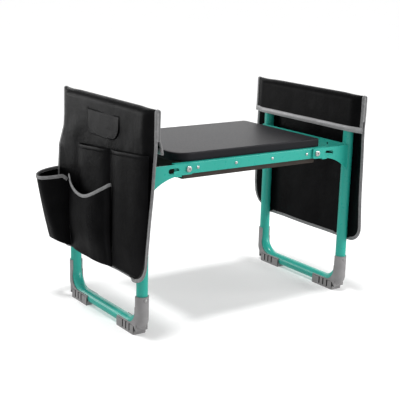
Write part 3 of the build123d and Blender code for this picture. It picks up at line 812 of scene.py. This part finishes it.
def upper_flap(body, sign):
    """Small flap with rounded lower corners, sewn along its top."""
    low, high = node_box("left_pouch_upper_flap")
    near_y, far_y, bottom, top = low[1], high[1], low[2], high[2]
    radius = 32.0
    back = PANEL_X + CLOTH / 2 + 0.6
    ys = np.linspace(-1, 1, 49)
    ts = np.concatenate([1 - np.cos(np.linspace(0, math.pi / 2, 14)), [1.2, 1.4, 1.6, 1.8]]) * radius
    grid = np.zeros((len(ts), len(ys), 3))
    for i, r in enumerate(ts):
        half = (far_y - near_y) / 2 + corner_cut(r, radius)
        for j, v in enumerate(ys):
            z = bottom + r / ts[-1] * (top - bottom)
            y = (near_y + far_y) / 2 + v * half
            height = (z - bottom) / (top - bottom)
            lift = 1.5 * (1 - height) ** 2 + 0.8 * (1 - v * v) * (1 - height) - 1.2 * height ** 4
            grid[i, j] = (back + 0.1 + lift + 0.25 * ripple(y, z, 41.0, 1.0), y, z)
    piece = pocket_piece("left_upper_flap", grid, sign, body, "left_pouch_upper_flap", UPPER_FLAP_CLOTH)
    path, inward, up = edge_path(grid, three_sides(grid))
    edge_part = bound_edge(path, inward, up, 3.4, UPPER_FLAP_CLOTH, 0.25, 0.4)
    thread = [stitches(path, inward, up, 4.6, 0.70)]
    top_path = grid[-1] + np.array([0.9, 0, -3.0])
    thread.append(stitches(*seam(top_path), 0, 0.2))
    return [piece, make_piece("left_upper_flap_edge", *edge_part, CLOTH_MATERIAL, body, "pouch_cloth", sign),
            make_piece("left_upper_flap_stitches", *merged(thread), BLACK_THREAD, body, "pouch_cloth", sign)]


def flat_pocket(body, sign):
    """Wide pocket on the outside of the other pouch, with a bound rim and two seams."""
    low, high = node_box("right_pouch_flat_pocket")
    near_y, far_y, bottom, top = low[1], high[1], low[2], high[2]
    radius, columns_each, fullness = 22.0, 29, 5.5
    back = PANEL_X + CLOTH / 2 + 1.4
    thirds = (near_y, near_y + (far_y - near_y) / 3, near_y + (far_y - near_y) * 2 / 3, far_y)
    ys = np.concatenate([np.linspace(a, b, columns_each + 1)[:-1] for a, b in zip(thirds, thirds[1:])] + [[far_y]])
    rise = np.concatenate([radius * (1 - np.cos(np.linspace(0, math.pi / 2, 9))),
                           np.linspace(radius, top - bottom, 46)[1:]])
    grid = np.zeros((len(rise), len(ys), 3))
    half = (far_y - near_y) / 2
    for i, r in enumerate(rise):
        narrow = (half + corner_cut(r, radius)) / half
        for j, y in enumerate(ys):
            k = min(2, int((y - near_y) / (far_y - near_y) * 3))
            share = (y - thirds[k]) / (thirds[k + 1] - thirds[k])
            bow = max(0.0, math.sin(math.pi * share)) ** 0.7 * (0.3 + 0.7 * smoothstep(r / BOW_RISE))
            x = back + fullness * bow + 0.5 * ripple(y, bottom + r, 55.0, 1.0) * bow
            grid[i, j] = (x, y * narrow, bottom + r)
    piece = pocket_piece("right_flat_pocket_front", grid, sign, body, "right_pouch_flat_pocket")
    path, inward, up = edge_path(grid, last_row(grid))
    rim = bound_edge(path, inward, up, RIM_TAPE_WIDTH, POCKET_CLOTH, TAPE_THICKNESS, 1.0)
    rim_thread = stitches(path, inward, up, RIM_STITCH_INSET, 1.65)
    thread = [stitches(*seam(grid[2:, column] + np.array([1.2, 0, 0])), 0, 0.1)
              for column in (columns_each, 2 * columns_each)]
    path, inward, _ = edge_path(grid, three_sides(grid))
    outwards = np.tile(np.array([1.0, 0, 0]), (len(path), 1))
    thread.append(stitches(path, inward, outwards, 3.0, 1.3))
    return [piece, make_piece("right_pocket_rim_tape", *rim, TAPE, body, "binding_tape", sign),
            make_piece("right_pocket_rim_stitches", *rim_thread, GREY_THREAD, body, "binding_tape", sign),
            make_piece("right_pocket_stitches", *merged(thread), BLACK_THREAD, body, "pouch_cloth", sign)]


# ================================================================ welds
def bead(start, end, radius, seed):
    """Weld bead: a small rippled rod."""
    start, end, pitch = np.array(start, float), np.array(end, float), 0.8
    t = np.linspace(0, 1, max(int(np.linalg.norm(end - start) / pitch), 4))
    centres = np.array([start + (end - start) * k for k in t])
    along = unit(end - start)
    side_axis = unit(np.cross(along, np.array([0.3, 0.5, 0.8]) if abs(along[2]) < 0.9 else np.array([1.0, 0, 0])))
    up_axis = np.cross(along, side_axis)
    sections = []
    for k in range(len(t)):
        swell = radius * (1 + 0.16 * math.sin(k * 1.35) + 0.12 * noise.noise(Vector((k * 0.3, seed, 0))))
        swell *= min(1.0, 0.45 + 0.25 * min(k, len(t) - 1 - k))
        sections.append([(swell * math.cos(a), swell * math.sin(a)) for a in np.linspace(0, 2 * math.pi, 9)[:-1]])
    return swept(centres, [side_axis] * len(t), [up_axis] * len(t), sections)


def weld_beads(side):
    """Beads where each hinge bracket and the cross plate meet the legs."""
    sign, body = end_of(side)
    bracket_face, clear, bracket_bead_r, plate_bead_r, half_length = 10.4, 0.6, 1.5, 1.3, 6
    bracket_low, bracket_high = node_box(side + "_front_hinge_bracket")
    plate_low, plate_high = node_box(side + "_cross_plate")
    face_y = LEG_Y + bracket_face
    reach = LEG_X - math.sqrt(TUBE_R ** 2 - bracket_face ** 2) - clear
    parts = []
    for y in (-face_y, face_y):
        parts.append(bead((reach, y, bracket_low[2] + 3), (reach, y, bracket_high[2] - 1), bracket_bead_r, y))
    plate_x = LEG_X - TUBE_R - clear
    for y in (-LEG_Y, LEG_Y):
        for z in (plate_low[2] - 0.3, plate_high[2] + 0.3):
            parts.append(bead((plate_x, y - half_length, z), (plate_x, y + half_length, z), plate_bead_r, z))
    make_piece(side + "_weld_beads", *merged(parts), TEAL, body, "teal_paint", sign)


# ================================================================ build the soft goods
POCKETS = {"left": (tool_pocket, scoop_pocket, cup_pocket, upper_flap), "right": (flat_pocket,)}

seat_pad()
for side in ("left", "right"):
    cloth, edge_pieces = pouch(side)
    sign, body = end_of(side)
    pockets = [piece for pocket in POCKETS[side] for piece in pocket(body, sign)]
    weld_beads(side)


# ================================================================ stage, light, camera
def studio():
    """A white floor, an even white world, a sun from above and three softboxes. Lengths here are metres."""
    reach = 30
    floor = bpy.data.meshes.new("studio_floor")
    floor.from_pydata([(-reach, -reach, 0), (reach, -reach, 0), (reach, reach, 0), (-reach, reach, 0)], [],
                      [(0, 1, 2, 3)])
    floor_piece = bpy.data.objects.new("studio_floor", floor)
    scene.collection.objects.link(floor_piece)
    finish = Finish("studio_floor", Specular_IOR_Level=0.1, Emission_Color=(1, 1, 1, 1), Emission_Strength=0.23)
    finish.colours(finish.noise(3, 2), (0.3, (0.80, 0.80, 0.80)), (0.7, (0.82, 0.82, 0.82)))
    finish.roughness(finish.noise(5, 2), 0.8, 0.9)
    floor.materials.append(finish.material)
    floor_piece.visible_glossy = False      # the object's gloss shows the even world, not the floor

    world = bpy.data.worlds.new("studio_white")
    scene.world = world
    world.use_nodes = True
    background = world.node_tree.nodes["Background"]
    background.inputs["Color"].default_value = (1, 1, 1, 1)
    background.inputs["Strength"].default_value = 0.45

    def light(name, kind, energy, place, target=(0, 0, 0.25), **settings):
        data = bpy.data.lights.new(name, kind)
        data.energy = energy
        for key, value in settings.items():
            setattr(data, key, value)
        lamp = bpy.data.objects.new(name, data)
        scene.collection.objects.link(lamp)
        lamp.location = place
        aim = Vector(target) - Vector(place)
        lamp.rotation_euler = aim.to_track_quat("-Z", "Y").to_euler()
        lamp.visible_camera = False

    light("top_sun", "SUN", 1.65, (-0.5, -0.15, 3.2), (0, 0, 0), angle=math.radians(9))
    light("front_softbox", "AREA", 72, (2.3, -2.3, 1.3), shape="RECTANGLE", size=2.2, size_y=1.5)
    light("left_softbox", "AREA", 11.5, (-1.25, 1.55, 0.55), (-0.1, 0, 0.40), shape="RECTANGLE", size=1.1,
          size_y=0.8)
    light("back_softbox", "AREA", 14, (1.35, 1.95, 0.95), (0, 0, 0.38), shape="RECTANGLE", size=2.6, size_y=1.5)


def camera():
    """The viewpoint: direction in degrees, distance and target in metres, and lens in millimetres."""
    azimuth, elevation, roll = (math.radians(a) for a in (-35.3, 14.09, 1.6))
    distance, target, lens = 2.26154, Vector((-0.02696, 0.01311, 0.23104)), 85.93
    back = Vector((math.sin(azimuth) * math.cos(elevation), -math.cos(azimuth) * math.cos(elevation),
                   math.sin(elevation)))
    right = (-back).cross(Vector((0, 0, 1))).normalized()
    up = right.cross(-back)
    right, up = math.cos(roll) * right + math.sin(roll) * up, math.cos(roll) * up - math.sin(roll) * right
    data = bpy.data.cameras.new("photo_camera")
    data.lens, data.sensor_width, data.clip_end = lens, 36, 200
    eye = bpy.data.objects.new("photo_camera", data)
    scene.collection.objects.link(eye)
    turn = Matrix((right, up, back)).transposed().to_4x4()
    eye.matrix_world = Matrix.Translation(target + back * distance) @ turn
    scene.camera = eye


studio()
camera()
scene.view_settings.view_transform = "Standard"
